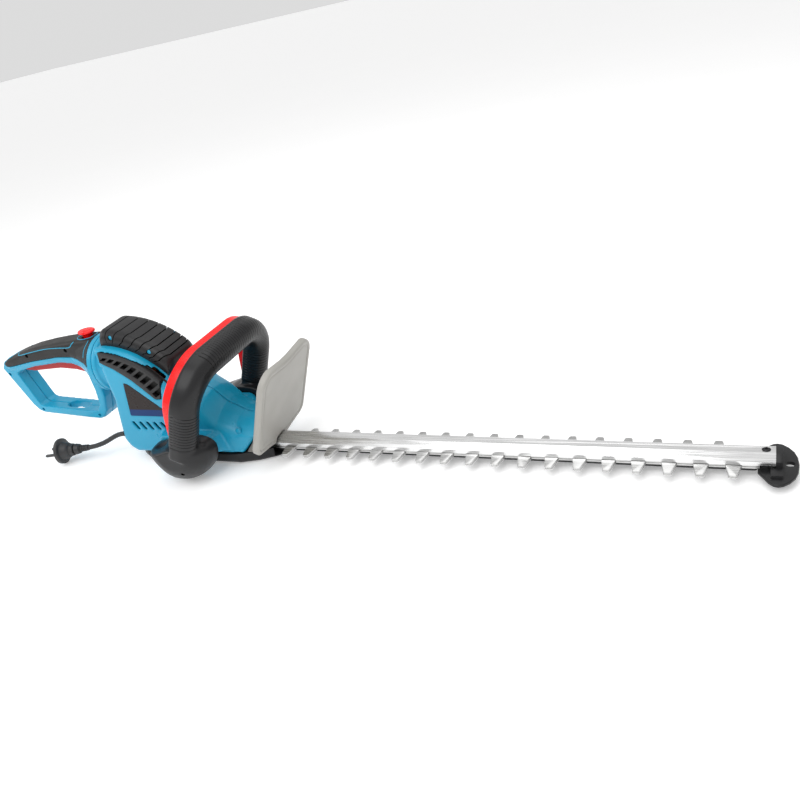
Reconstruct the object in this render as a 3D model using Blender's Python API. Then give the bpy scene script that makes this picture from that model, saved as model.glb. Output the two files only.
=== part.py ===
"""Corded electric hedge trimmer: an assembly of separate solids in one frame.

The origin is the middle of the base plate's flat underside. +X points along the
blade to its tip, +Y to the operator's left and +Z up. Sizes below are in
millimetres, and every mesh is turned into metres when its object is made.
"""

import math

import bmesh
import bpy
from mathutils import Vector

MM = 0.001
GAP = 0.3

# Blade and its carrier
BLADE_Z = 14.0
BLADE_THICK = 2.1
BLADE_SPLIT = 0.4
SPINE_HALF = 12.0
SPINE_END = 694.0
TOOTH_COUNT = 18
TOOTH_PITCH = 32.0
TOOTH_FIRST = 125.0
TOOTH_REACH = 32.0
TOOTH_ROOT_HALF = 8.0
TOOTH_TIP_HALF = 4.2
BOLT_FIRST = 173.0
BOLT_STEP = 96.0
BOLT_COUNT = 6
BOLT_R = 2.4
BAR_START = 98.0
BAR_END = 709.0
BAR_HALF = 13.5
BAR_Z = (16.8, 22.0, 28.5)
RAIL_Z = (8.6, 11.2)
TIP_X = 731.0
TIP_LOBE = (711.0, 38.0)
TIP_HOLE = (722.4, 5.0, 4.4)
TIP_BLOCK_END = 715.6

# Drive train: a tall motor whose pinion turns a gear with two opposed cams
MOTOR_X = -70.0
GEAR_MODULE = 1.7
GEAR_TEETH = 40
PINION_TEETH = 7
GEAR_X = MOTOR_X + GEAR_MODULE * (GEAR_TEETH + PINION_TEETH) / 2 + 0.3
THROW = 8.0
CAM_R = 10.0
YOKE_R = 27.0
YOKE_RIM = 6.0

# Housing
BODY_HALF = 45.0
NOSE_HALF = 36.0
NOSE_CROWN = 17.0
WALL = 4.0
DOME_CENTRE = (-115.0, 54.0)
DOME_R = 127.0
NECK_X = -137.7
NECK_Z = 142.0
NECK_R = 42.0
BOSS_OUT = 60.0
COVER_RISE = 20.0
COVER_HALF = 31.0
COVER_RIM = 12.0
SLOT_COUNT = 8
SLOT_FLOOR = DOME_R + 15.0

# Leaning front pieces: the bail handle, its switch bar and the hand guard
LEAN = math.radians(23.0)
BAIL_FOOT = (12.2, 40.0)
BAIL_HALF = 88.0
BAIL_TOP = 128.5
BAIL_CORNER = 50.0
SWITCH_PIVOT = (-12.0, 36.0)
GUARD_FOOT = (105.0, 30.0)
GUARD_HALF = 63.5
GUARD_LOW = -10.0
GUARD_TOP = 126.0

# Rear handle
LOOP_HALF = 16.0
GRIP_HALF = 18.0
TRIGGER_PIVOT = (-190.0, 147.0)
BUTTON_X = -165.0

# Mains lead
CORD_R = 3.5
GLAND_START = (-129.0, -20.0, 36.0)


def arc(cx, cy, radius, start, end, count):
    """Points on a circle from one angle to another, in degrees."""
    step = (end - start) / (count - 1)
    angles = [math.radians(start + step * i) for i in range(count)]
    return [(cx + radius * math.cos(a), cy + radius * math.sin(a)) for a in angles]


def rounded_box(x0, y0, x1, y1, radius, count=4):
    """A rectangle's outline with round corners."""
    points = arc(x1 - radius, y0 + radius, radius, -90, 0, count)
    points += arc(x1 - radius, y1 - radius, radius, 0, 90, count)
    points += arc(x0 + radius, y1 - radius, radius, 90, 180, count)
    points += arc(x0 + radius, y0 + radius, radius, 180, 270, count)
    return points


def signed_area(outline):
    total = 0.0
    for i, (x0, y0) in enumerate(outline):
        x1, y1 = outline[(i + 1) % len(outline)]
        total += x0 * y1 - x1 * y0
    return total / 2


def inset(outline, distance):
    """Moves each side of an outline inwards, with mitred corners."""
    turn = 1.0 if signed_area(outline) > 0 else -1.0
    result = []
    count = len(outline)
    for i in range(count):
        before = Vector(outline[i - 1])
        here = Vector(outline[i])
        after = Vector(outline[(i + 1) % count])
        a = (here - before).normalized()
        b = (after - here).normalized()
        normal_a = Vector((-a.y, a.x)) * turn
        normal_b = Vector((-b.y, b.x)) * turn
        middle = (normal_a + normal_b).normalized()
        reach = distance / max(0.4, middle.dot(normal_a))
        result.append(tuple(here + middle * reach))
    return result


def loft(rings):
    """A closed solid through rings of equally many points, with flat ends."""
    bm = bmesh.new()
    made = [[bm.verts.new(point) for point in ring] for ring in rings]
    bm.faces.new(made[0])
    bm.faces.new(made[-1])
    for low, high in zip(made, made[1:]):
        for i in range(len(low)):
            j = (i + 1) % len(low)
            bm.faces.new((low[i], low[j], high[j], high[i]))
    bmesh.ops.recalc_face_normals(bm, faces=bm.faces)
    bmesh.ops.triangulate(bm, faces=bm.faces)
    if bm.calc_volume(signed=True) < 0:
        bmesh.ops.reverse_faces(bm, faces=bm.faces)
    return bm


def prism(outline, low, high, axis="Y"):
    """An outline drawn out along an axis: (x, z) for Y, (x, y) for Z, (y, z) for X."""
    if axis == "Y":
        rings = [[(a, t, b) for a, b in outline] for t in (low, high)]
    elif axis == "Z":
        rings = [[(a, b, t) for a, b in outline] for t in (low, high)]
    else:
        rings = [[(t, a, b) for a, b in outline] for t in (low, high)]
    return loft(rings)


def slab(outline, inner, outer, rim, steps=3, between=()):
    """A side outline drawn out along Y, its outer rim rounded by a quarter circle."""
    side = 1.0 if outer > inner else -1.0
    rings = [[(x, y, z) for x, z in outline] for y in (inner, *between)]
    for k in range(steps + 1):
        turn = math.radians(90 * k / steps)
        y = outer - side * rim * (1 - math.sin(turn))
        ring = inset(outline, rim * (1 - math.cos(turn)))
        rings.append([(x, y, z) for x, z in ring])
    return loft(rings)


def both_sides(outline, half, rim, steps=3):
    """A slab across the middle plane with both rims rounded."""
    rings = []
    for k in range(-steps - 1, steps + 2):
        if k == 0:
            continue
        turn = math.radians(90 * (abs(k) - 1) / steps)
        y = math.copysign(half - rim * (1 - math.sin(turn)), k)
        ring = inset(outline, rim * (1 - math.cos(turn)))
        rings.append([(x, y, z) for x, z in ring])
    return loft(rings)


def turned(profile, centre, axis="Z", count=24):
    """A body turned about an axis: profile is (along, radius), from end to end."""
    cx, cy, cz = centre
    rings = []
    for along, radius in profile:
        ring = []
        for a, b in arc(0, 0, radius, 0, 360 - 360 / count, count):
            if axis == "Z":
                ring.append((cx + a, cy + b, cz + along))
            elif axis == "X":
                ring.append((cx + along, cy + a, cz + b))
            else:
                ring.append((cx + a, cy + along, cz + b))
        rings.append(ring)
    return loft(rings)


def turned_ring(profile, centre, count=24):
    """A ring turned about a vertical axis from a closed (radius, height) profile."""
    bm = bmesh.new()
    cx, cy, cz = centre
    loops = []
    for ca, sa in arc(0, 0, 1.0, 0, 360 - 360 / count, count):
        loops.append([bm.verts.new((cx + r * ca, cy + r * sa, cz + h)) for r, h in profile])
    for i, here in enumerate(loops):
        after = loops[(i + 1) % count]
        for j in range(len(profile)):
            k = (j + 1) % len(profile)
            bm.faces.new((here[j], here[k], after[k], after[j]))
    bmesh.ops.recalc_face_normals(bm, faces=bm.faces)
    return bm


def leaning(foot, y, along, forward):
    """A place on a leaning plane: up along it, and forward out of it."""
    x = foot[0] + along * math.sin(LEAN) + forward * math.cos(LEAN)
    z = foot[1] + along * math.cos(LEAN) - forward * math.sin(LEAN)
    return (x, y, z)


def new_object(name, bm):
    bmesh.ops.scale(bm, vec=(MM, MM, MM), verts=bm.verts)
    mesh = bpy.data.meshes.new(name)
    bm.to_mesh(mesh)
    bm.free()
    obj = bpy.data.objects.new(name, mesh)
    bpy.context.scene.collection.objects.link(obj)
    return obj


def paint(obj, colour, roughness, metallic):
    material = bpy.data.materials.new(obj.name)
    material.use_nodes = True
    shader = material.node_tree.nodes["Principled BSDF"]
    shader.inputs["Base Color"].default_value = (*colour, 1.0)
    shader.inputs["Roughness"].default_value = roughness
    shader.inputs["Metallic"].default_value = metallic
    obj.data.materials.append(material)


FINISHES = {
    "cyan": ((0.02, 0.38, 0.58), 0.42, 0.0),
    "black": ((0.03, 0.03, 0.03), 0.5, 0.0),
    "red": ((0.75, 0.02, 0.02), 0.35, 0.0),
    "label": ((0.02, 0.02, 0.04), 0.3, 0.0),
    "guard": ((0.32, 0.31, 0.28), 0.5, 0.0),
    "steel": ((0.55, 0.55, 0.55), 0.35, 1.0),
    "aluminium": ((0.8, 0.8, 0.8), 0.3, 1.0),
    "copper": ((0.6, 0.25, 0.1), 0.4, 1.0),
    "brass": ((0.7, 0.5, 0.2), 0.3, 1.0),
    "rubber": ((0.02, 0.02, 0.02), 0.6, 0.0),
}


def node(name, bm, finish, pivot=None, parent=None):
    """Makes one sub-part; a moving piece has its origin on its joint's axis."""
    if pivot:
        bmesh.ops.translate(bm, vec=[-c for c in pivot], verts=bm.verts)
    obj = new_object(name, bm)
    if pivot:
        obj.location = Vector(pivot) * MM
    for polygon in obj.data.polygons:
        polygon.use_smooth = True
    obj.data.set_sharp_from_angle(angle=math.radians(35))
    paint(obj, *FINISHES[finish])
    if parent:
        obj.parent = parent
        obj.matrix_parent_inverse = parent.matrix_world.inverted()
    return obj


def axis_empty(name, place):
    """An empty on a joint's axis, which carries the pieces of a moving body."""
    empty = bpy.data.objects.new(name, None)
    empty.location = Vector(place) * MM
    bpy.context.scene.collection.objects.link(empty)
    bpy.context.view_layer.update()
    return empty


def combine(obj, bm, operation="DIFFERENCE"):
    """Cuts, joins or crosses an object with another solid, kept as a hidden guide."""
    tool = new_object(obj.name + "_guide", bm)
    tool.hide_render = True
    tool.display_type = "WIRE"
    modifier = obj.modifiers.new(operation.lower(), "BOOLEAN")
    modifier.operation = operation
    modifier.solver = "EXACT"
    modifier.object = tool
    return obj


def narrow_nose(bm):
    """The housing grows narrower and rounder on top from the motor to the blade."""
    for vert in bm.verts:
        x, y, z = vert.co
        crown = min(1.0, max(0.0, (x + 55.0) / 45.0)) * min(1.0, max(0.0, (z - 45.0) / 15.0))
        vert.co.z -= NOSE_CROWN * crown * (y / BODY_HALF) ** 2
        share = min(1.0, max(0.0, x / 80.0))
        vert.co.y *= 1.0 - share * (1.0 - NOSE_HALF / BODY_HALF)
    return bm


# ---------------------------------------------------------------- housing


def body_outline():
    dome = arc(*DOME_CENTRE, DOME_R, 92, 27, 12)
    nose = [(20, 98), (38, 79), (62, 66.5), (88, 60), (109, 57)]
    front = [(103, 43), (88, 42.5), (62, 17)]
    back = [(-115, 17), (-126, 25), (-132, 38), (-128, 60), (-119, 104)]
    return dome + nose + front + back


def hollow_outline():
    """The room inside the housing, ending behind the solid front of the nose."""
    dome = arc(*DOME_CENTRE, DOME_R - WALL, 90, 27, 12)
    nose = [(16, 94), (35, 75), (60, 61), (82, 55), (60, 26), (40, 21)]
    return dome + nose + [(-112, 21), (-121, 28), (-127, 39), (-123, 60), (-115, 104)]


def on_dome(radius, angle):
    turn = math.radians(angle)
    return (DOME_CENTRE[0] + radius * math.cos(turn), DOME_CENTRE[1] + radius * math.sin(turn))


def cover_rings(steps=4):
    """The motor cover is a hood on the dome, rounded off towards its sides and its ends."""
    rings = []
    for k in range(-steps - 1, steps + 2):
        if k == 0:
            continue
        turn = math.radians(90 * (abs(k) - 1) / steps)
        drop = COVER_RIM * (1 - math.cos(turn))
        y = math.copysign(COVER_HALF - COVER_RIM * (1 - math.sin(turn)), k)
        first = 40 + 0.3 * drop
        last = 93 - 0.7 * drop
        base = DOME_R + GAP
        rise = COVER_RISE - GAP - drop
        outline = [on_dome(base, first), on_dome(base + 0.5 * rise, first + 0.5)]
        outline.append(on_dome(base + 0.84 * rise, first + 2.4))
        outline += arc(*DOME_CENTRE, base + rise, first + 6, last - 6, 12)
        outline.append(on_dome(base + 0.84 * rise, last - 2.4))
        outline += [on_dome(base + 0.5 * rise, last - 0.5), on_dome(base, last)]
        outline += arc(*DOME_CENTRE, base, last - 3, first + 3, 12)
        rings.append([(x, y, z) for x, z in outline])
    return rings


def grille_outline():
    upper = arc(-115, 54, 123, 88, 41, 8)
    lower = [(-33, 106), (-43, 106), (-58, 122), (-71, 135), (-94, 152), (-114, 162)]
    return upper + lower


def label_outline():
    return [(-88, 131), (-80, 128), (-34, 88), (-34, 78.5), (-99, 78.5)]


def boss_rings(side):
    """The block on the housing's side that carries one foot of the bail handle."""
    outline = [(-54, 17), (-57, 50), (-50, 57), (34, 57), (42, 50), (46, 17)]
    rings = []
    for y, wide, tall in ((30, 1.05, 1.0), (45, 0.97, 0.75), (57, 0.88, 0.62), (BOSS_OUT, 0.84, 0.56)):
        rings.append([(-4 + wide * (x + 4), side * y, 57 + tall * (z - 57)) for x, z in outline])
    return rings


def make_housing(side, name):
    outline = body_outline()
    shell = slab(outline, side * GAP / 2, side * BODY_HALF, 7.0, 3, (side * 18.0, side * 30.0))
    narrow_nose(shell)
    obj = node(name, shell, "cyan")
    neck = turned([(0, NECK_R), (6.5, NECK_R), (8, 38.4), (60, 30)], (NECK_X, 0, NECK_Z), "X", 36)
    combine(obj, neck, "UNION")
    combine(obj, loft(boss_rings(side)), "UNION")
    keep = prism([(-200, -10), (200, -10), (200, 260), (-200, 260)],
                 side * GAP / 2, side * 90.0)
    combine(obj, keep, "INTERSECT")
    hollow = slab(hollow_outline(), -side * 5.0, side * (BODY_HALF - WALL), 5.0, 2,
                  (side * 18.0, side * 30.0))
    combine(obj, narrow_nose(hollow))
    bore = turned([(-5, 32.3), (13, 32.3), (13, 35.0), (50, 35.0)], (NECK_X, 0, NECK_Z), "X", 36)
    combine(obj, bore)
    floor = prism([(-110, 10), (60, 10), (60, 22), (-110, 22)], -side * 5.0, side * 36.0)
    combine(obj, floor)
    window = prism(inset(grille_outline(), -GAP), side * 30.0, side * 50.0)
    combine(obj, window)
    pocket = prism(inset(label_outline(), -GAP), side * (BODY_HALF - 1.2), side * 50.0)
    combine(obj, pocket)
    for k in range(5):
        x = -103 + 12.5 * k
        vent = prism([(x, 69), (x + 5, 69), (x + 12, 56), (x + 7, 56)], side * 30.0, side * 50.0)
        combine(obj, vent)
    for x, z in ((-116, 157), (66, 52)):
        hole = turned([(30 * side, 3.6), (60 * side, 3.6)], (x, 0, z), "Y", 12)
        combine(obj, hole)
    if side < 0:
        gland_bore = turned([(-14, 6.0), (14, 6.0)], GLAND_START, "X", 16)
        combine(obj, gland_bore)
    return obj


def cover_slot(middle):
    """A narrow slot across the cover, over both of its shoulders."""
    half = math.degrees(0.7 / DOME_R)
    corners = ((200, -half), (200, half), (SLOT_FLOOR, half), (SLOT_FLOOR, -half))
    return prism([on_dome(radius, middle + offset) for radius, offset in corners], -50.0, 50.0)


def make_cover():
    obj = node("motor_cover", loft(cover_rings()), "black")
    room = arc(*DOME_CENTRE, DOME_R + 12.0, 49, 81, 10)
    combine(obj, prism(room + [DOME_CENTRE], -COVER_HALF + 5.0, COVER_HALF - 5.0))
    for k in range(SLOT_COUNT):
        combine(obj, cover_slot(84.0 - 7.3 * k + 0.27 * k * k))
    for side in (-1, 1):
        for angle in (81.3, 55.9):
            x, z = on_dome(DOME_R + 10.0, angle)
            hole = turned([(22 * side, 3.2), (50 * side, 3.2)], (x, 0, z), "Y", 12)
            combine(obj, hole)


def make_grille(side, name):
    frame = slab(grille_outline(), side * (BODY_HALF - 5.0), side * (BODY_HALF + 0.6), 0.6, 1)
    obj = node(name, frame, "black")
    slant = math.radians(208.0)
    for k in range(9):
        upper = [on_dome(116.0, 84.5 - 5.8 * k), on_dome(116.0, 80.9 - 5.8 * k)]
        reach = 8.5 + 1.8 * k
        lower = [(x + reach * math.cos(slant), z + reach * math.sin(slant)) for x, z in upper[::-1]]
        combine(obj, prism(upper + lower, side * 30.0, side * 60.0))


def make_label(side, name):
    plate = prism(label_outline(), side * (BODY_HALF - 0.9), side * (BODY_HALF - 0.1))
    node(name, plate, "label")


def make_base():
    """A shallow trough under the gears, open at the front for the blades."""
    outline = [(-118, -30), (-104, -38), (52, -38), (80, -30), (108, -15)]
    outline += [(x, -y) for x, y in outline[::-1]]
    rings = []
    for z, narrower in ((0.0, 5.0), (2.5, 2.0), (6.0, 0.5), (16.7, 0.0)):
        rings.append([(x, y, z) for x, y in inset(outline, narrower)])
    obj = node("base_plate", loft(rings), "black")
    combine(obj, prism(rounded_box(-112, -34, 60, 34, 6), 3.0, 20.0, "Z"))
    combine(obj, prism([(55, -20), (120, -17), (120, 17), (55, 20)], 3.0, 20.0, "Z"))


def make_gear_case():
    outline = [(66, 17), (88.5, 42.1), (100, 42.5), (89, 17)]
    obj = node("gear_case", both_sides(outline, 33.0, 1.5, 1), "steel")
    passage = prism([(50, -30), (120, -16), (120, 16), (50, 30)], 10.0, 30.0, "Z")
    combine(obj, passage)


# ---------------------------------------------------------------- drive train


def gear_outline(cx, teeth, module, backlash=0.25, phase=0.0):
    points = []
    root = module * teeth / 2 - 1.15 * module
    tip = module * teeth / 2 + 0.9 * module
    pitch = 360.0 / teeth
    for k in range(teeth):
        centre = phase + pitch * k
        for r, share in ((root, -0.34), (tip, -0.14 + backlash * 0.05), (tip, 0.14), (root, 0.34)):
            a = math.radians(centre + pitch * share)
            points.append((cx + r * math.cos(a), r * math.sin(a)))
    return points


def make_motor():
    stator = turned_ring([(24, 0), (36, 0), (36, 52), (24, 52)], (MOTOR_X, 0, 68), 28)
    node("motor_stator", stator, "copper")
    spin = axis_empty("motor_axis", (MOTOR_X, 0, 90))
    core = [(-62, 4), (-28, 4), (-28, 22), (36, 22), (36, 12), (52, 12), (52, 4), (72, 4)]
    node("motor_armature", turned(core, (MOTOR_X, 0, 92), "Z", 20), "copper", parent=spin)
    hub = turned_ring([(4.4, 0), (33, 0), (33, 1.5), (8, 1.5), (8, 8), (4.4, 8)],
                      (MOTOR_X, 0, 52), 20)
    fan = node("motor_fan", hub, "black", parent=spin)
    for k in range(6):
        a = 60.0 * k
        ca, sa = math.cos(math.radians(a)), math.sin(math.radians(a))
        blade = [(7, -0.9), (32, -0.9), (32, 0.9), (7, 0.9)]
        blade = [(MOTOR_X + x * ca - y * sa, x * sa + y * ca) for x, y in blade]
        combine(fan, prism(blade, 53.0, 60.0, "Z"), "UNION")
    pinion = prism(gear_outline(MOTOR_X, PINION_TEETH, GEAR_MODULE,
                                phase=180.0 / PINION_TEETH), 20.5, 29.5, "Z")
    pinion = node("motor_pinion", pinion, "steel", parent=spin)
    combine(pinion, turned([(-5, 2.3), (20, 2.3)], (MOTOR_X, 0, 20), "Z", 12))
    for name, z in (("motor_bearing_lower", 38.0), ("motor_bearing_upper", 146.0)):
        ring = turned_ring([(4.4, 0), (11, 0), (11, 7), (4.4, 7)], (MOTOR_X, 0, z), 20)
        node(name, ring, "steel")
    for side, name in ((-1, "brush_holder_right"), (1, "brush_holder_left")):
        block = prism(rounded_box(MOTOR_X - 5, 129, MOTOR_X + 5, 139, 1, 2),
                      side * 13.0, side * 34.0)
        node(name, block, "brass")


def make_gear_train():
    spin = axis_empty("gear_axis", (GEAR_X, 0, 25))
    gear = prism(gear_outline(GEAR_X, GEAR_TEETH, GEAR_MODULE), 21.0, 29.0, "Z")
    gear = node("drive_gear", gear, "steel", parent=spin)
    combine(gear, turned([(-10, 6.3), (20, 6.3)], (GEAR_X, 0, 20), "Z", 20))
    shaft = turned([(0, 5), (12.2, 5), (12.2, 6), (32, 6)], (GEAR_X, 0, 8.0), "Z", 20)
    shaft = node("cam_shaft", shaft, "steel", parent=spin)
    for side in (-1, 1):
        low = BLADE_Z + (BLADE_SPLIT / 2 if side > 0 else -BLADE_THICK - BLADE_SPLIT / 2)
        cam = turned([(0, CAM_R), (BLADE_THICK, CAM_R)], (GEAR_X, side * THROW, low), "Z", 24)
        combine(shaft, cam, "UNION")
    bearing = turned_ring([(6.4, 0), (14, 0), (14, 7), (6.4, 7)], (GEAR_X, 0, 31), 20)
    node("gear_bearing", bearing, "steel")


def blade_outline():
    """The toothed blade from above, with a round yoke at its tail."""
    near = []
    for k in range(TOOTH_COUNT):
        x = TOOTH_FIRST + TOOTH_PITCH * k
        near += [(x - TOOTH_ROOT_HALF, -SPINE_HALF), (x - TOOTH_TIP_HALF, -TOOTH_REACH + 1.5)]
        near += [(x - TOOTH_TIP_HALF + 1.5, -TOOTH_REACH), (x + TOOTH_TIP_HALF - 1.5, -TOOTH_REACH)]
        near += [(x + TOOTH_TIP_HALF, -TOOTH_REACH + 1.5), (x + TOOTH_ROOT_HALF, -SPINE_HALF)]
    far = [(x - TOOTH_PITCH / 2, -y) for x, y in near[6:]][::-1]
    outer = YOKE_R + YOKE_RIM
    opening = math.degrees(math.asin(SPINE_HALF / outer))
    yoke = arc(GEAR_X, 0, outer, opening, 360 - opening, 22)
    return yoke + near + [(SPINE_END, -SPINE_HALF), (SPINE_END, SPINE_HALF)] + far


def make_blade(name, low, finish="steel"):
    pivot = (GEAR_X, 0, low)
    obj = node(name, prism(blade_outline(), low, low + BLADE_THICK, "Z"), finish, pivot)
    window = arc(GEAR_X, 0, YOKE_R, 0, 345, 24)
    combine(obj, prism(window, low - 5, low + 5, "Z"))
    for k in range(BOLT_COUNT):
        x = BOLT_FIRST + BOLT_STEP * k
        slot = rounded_box(x - THROW - 3.2, -3.1, x + THROW + 3.2, 3.1, 3.0, 3)
        combine(obj, prism(slot, low - 5, low + 5, "Z"))
    return obj


def make_carrier():
    low, shoulder, top = BAR_Z
    section = [(-BAR_HALF, low), (BAR_HALF, low), (BAR_HALF, shoulder - 0.6), (BAR_HALF - 0.6, shoulder)]
    section += [(6.8, top - 0.3), (6.2, top), (-6.2, top), (-6.8, top - 0.3)]
    section += [(-BAR_HALF + 0.6, shoulder), (-BAR_HALF, shoulder - 0.6)]
    bar = node("blade_bar", prism(section, BAR_START, BAR_END, "X"), "aluminium")
    rail = prism(rounded_box(94, -11, 692, 11, 3, 3), *RAIL_Z, "Z")
    rail = node("support_rail", rail, "black")
    for k in range(BOLT_COUNT):
        x = BOLT_FIRST + BOLT_STEP * k
        combine(bar, turned([(-3, BOLT_R + GAP), (6.0, BOLT_R + GAP)], (x, 0, low), "Z", 12))
        combine(rail, turned([(-3, BOLT_R + GAP), (6.0, BOLT_R + GAP)], (x, 0, RAIL_Z[0]), "Z", 12))
        head = [(-3.6, 4.6), (-0.3, 4.6), (-0.3, BOLT_R), (13.6, BOLT_R)]
        node(f"blade_bolt_{k + 1}", turned(head, (x, 0, RAIL_Z[0]), "Z", 12), "black")
    combine(bar, turned([(-1.5, 4.6), (3.0, 4.6)], (BAR_END - 9, 0, top), "Z", 14))
    screw = turned([(-1.2, 4.2), (0.3, 4.2), (0.9, 3.2)], (BAR_END - 9, 0, top), "Z", 14)
    node("tip_screw", screw, "black")


def make_tip_guard():
    x, y = TIP_LOBE
    half = [(692, -16), (697, -24), (702, -33), (706.5, -37), (x, -y), (716, -36.5)]
    half += [(722, -31), (727, -23), (730, -13)]
    outline = half + [(TIP_X, 0)] + [(a, -b) for a, b in half[::-1]]
    bm = loft([[(a, b, z) for a, b in inset(outline, d)]
               for z, d in ((7.4, 1.0), (8.4, 0.0), (10.4, 0.0), (11.3, 0.8))])
    obj = node("tip_guard", bm, "black")
    hole = [(TIP_HOLE[0] + TIP_HOLE[1] * a, TIP_HOLE[2] * b) for a, b in arc(0, 0, 1, 0, 345, 16)]
    combine(obj, prism(hole, 0, 30, "Z"))
    rail_end = rounded_box(660, -11 - GAP, 692 + GAP, 11 + GAP, 0.5, 2)
    combine(obj, prism(rail_end, 0.0, 40.0, "Z"))
    low, shoulder, top = BAR_Z
    block = [(-BAR_HALF, 9), (BAR_HALF, 9), (BAR_HALF, shoulder), (6.4, top - 0.5), (-6.4, top - 0.5),
             (-BAR_HALF, shoulder)]
    combine(obj, prism(block, BAR_END + GAP, TIP_BLOCK_END, "X"), "UNION")
    for side in (-1, 1):
        foot = [(BAR_END - 5, side * 15), (TIP_BLOCK_END, side * 12), (TIP_BLOCK_END, side * 27),
                (BAR_END - 5, side * 27)]
        combine(obj, prism(foot, 9.0, 15.0, "Z"), "UNION")


# ---------------------------------------------------------------- front handle


def bail_path(start, steps=7):
    """Places along the bail's middle line: (y, along, outward direction)."""
    places = [(-BAIL_HALF, along, (-1.0, 0.0)) for along in start]
    corner_y = BAIL_HALF - BAIL_CORNER
    corner_v = BAIL_TOP - BAIL_CORNER
    for a in [180 - 90 * k / steps for k in range(steps + 1)]:
        ca, sa = math.cos(math.radians(a)), math.sin(math.radians(a))
        places.append((-corner_y + BAIL_CORNER * ca, corner_v + BAIL_CORNER * sa, (ca, sa)))
    places += [(-y, along, (-out, up)) for y, along, (out, up) in places[::-1]]
    return places


def bail_ring(place, profile):
    y, along, (out, up) = place
    return [leaning(BAIL_FOOT, y + r * out, along + r * up, n) for n, r in profile]


def handle_profile():
    """A D with a round front, and a groove in its flat back for the switch bar."""
    front = arc(-1, 0, 18, -90, 90, 9)
    rear = [(-11.5, 18), (-14, 15.6), (2, 15.6), (2, -15.6), (-14, -15.6), (-11.5, -18)]
    return front + rear


def foot_outline():
    return [(-50, 50), (-48, 40), (-40, 22), (-28, 8), (-15, 2), (7, 2), (27, 11),
            (41, 25), (48, 39), (50, 51), (43, 58), (30, 63), (-4, 63), (-20, 55), (-40, 51)]


def foot_rings(side):
    """The bail's boat-shaped foot narrows towards its outer side."""
    rings = []
    for y, share in ((BOSS_OUT + GAP, 1.0), (72, 1.0), (84, 0.93), (94, 0.78), (101, 0.6)):
        middle = (6.0, 58.0)
        rings.append([(middle[0] + share * (x - middle[0]), side * y,
                       middle[1] + share * (z - middle[1])) for x, z in foot_outline()])
    return rings


def make_front_handle():
    rings = [bail_ring(place, handle_profile()) for place in bail_path([6, 40, 66])]
    obj = node("front_handle", loft(rings), "black")
    for side in (-1, 1):
        combine(obj, loft(foot_rings(side)), "UNION")
        for x, z, wide in ((-34, 62, 14.0), (58, 72, 15.0)):
            profile = [(-17, wide * 0.35), (-12, wide * 0.8), (-5, wide), (5, wide), (12, wide * 0.8),
                       (17, wide * 0.35)]
            combine(obj, turned(profile, (x, side * 62.0, z), "Y", 16))
    return obj


def make_switch_bar():
    pivot = leaning(BAIL_FOOT, 0, SWITCH_PIVOT[1], SWITCH_PIVOT[0])
    rings = []
    for place in bail_path([34, 52, 70]):
        share = min(1.0, (place[1] - 34) / 50.0)
        rear = -16.0 - 11.5 * share
        profile = [(rear, -11), (rear + 2, -13), (-8, -13), (-8, 13), (rear + 2, 13), (rear, 11)]
        rings.append(bail_ring(place, profile))
    return node("switch_bar", loft(rings), "red", pivot)


def make_bar_switch():
    """The switch that the bar presses, in the groove of the bail's left leg."""
    profile = [(-4.3, -5), (1.7, -5), (1.7, 5), (-4.3, 5)]
    places = [(BAIL_HALF, along, (1.0, 0.0)) for along in (54, 72)]
    node("bar_switch", loft([bail_ring(place, profile) for place in places]), "black")


def guard_point(y, along, forward):
    return leaning(GUARD_FOOT, y, along, forward)


def guard_outline(shrink=0.0):
    half = GUARD_HALF
    outline = arc(half - 24, GUARD_TOP - 24, 24, 0, 78, 6)
    outline += [(18, GUARD_TOP - 4.5), (-14, GUARD_TOP - 4.5)]
    outline += arc(-half + 24, GUARD_TOP - 24, 24, 102, 180, 6)
    outline += arc(-half + 13, 12, 13, 180, 250, 5)
    outline += [(-20, GUARD_LOW), (20, GUARD_LOW)]
    outline += arc(half - 13, 12, 13, 290, 360, 5)
    return inset(outline, shrink) if shrink else outline


def guard_solid(layers):
    return loft([[guard_point(y, v, n) for y, v in guard_outline(shrink)] for n, shrink in layers])


def make_hand_guard():
    layers = [(-7.0, 1.2), (-6.0, 0.2), (0.6, 0.2), (2.0, 1.0), (2.6, 2.6)]
    obj = node("hand_guard", guard_solid(layers), "guard")
    combine(obj, guard_solid([(-9.0, 3.6), (-0.6, 4.4)]))
    combine(obj, guard_solid([(1.6, 9.5), (4.0, 8.0)]))
    bar = [(-BAR_HALF - 0.8, 0), (BAR_HALF + 0.8, 0), (BAR_HALF + 0.8, BAR_Z[1] + 0.8),
           (7.6, BAR_Z[2] + 0.8), (-7.6, BAR_Z[2] + 0.8), (-BAR_HALF - 0.8, BAR_Z[1] + 0.8)]
    combine(obj, prism(bar, 80, 130, "X"))
    return obj


# ---------------------------------------------------------------- rear handle


def grip_top():
    return [(-345, 146), (-330, 155), (-306, 162), (-277, 169), (-243, 174.5),
            (-214, 178), (-183, 181), (-160, 182), (-150, 182.3)]


def grip_outline():
    """The bar that the hand goes round, from the swivel flare to its rear end."""
    belly = [(-150, 139), (-183, 139), (-200, 146.5), (-223, 148.5), (-279, 142.5)]
    return belly + [(-312, 135.5), (-332, 134)] + grip_top()


def overlay_region():
    """Everything above the line where the soft grip meets the painted shells."""
    line = [(-339, 147.5), (-335, 142.5), (-321, 143.5), (-279, 151), (-223, 157.5)]
    line += [(-190, 157), (-170, 153), (-146, 152), (-120, 152)]
    return line + [(-120, 230), (-313, 230), (-314, 162), (-319, 156.8), (-331, 152.5)]


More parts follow.
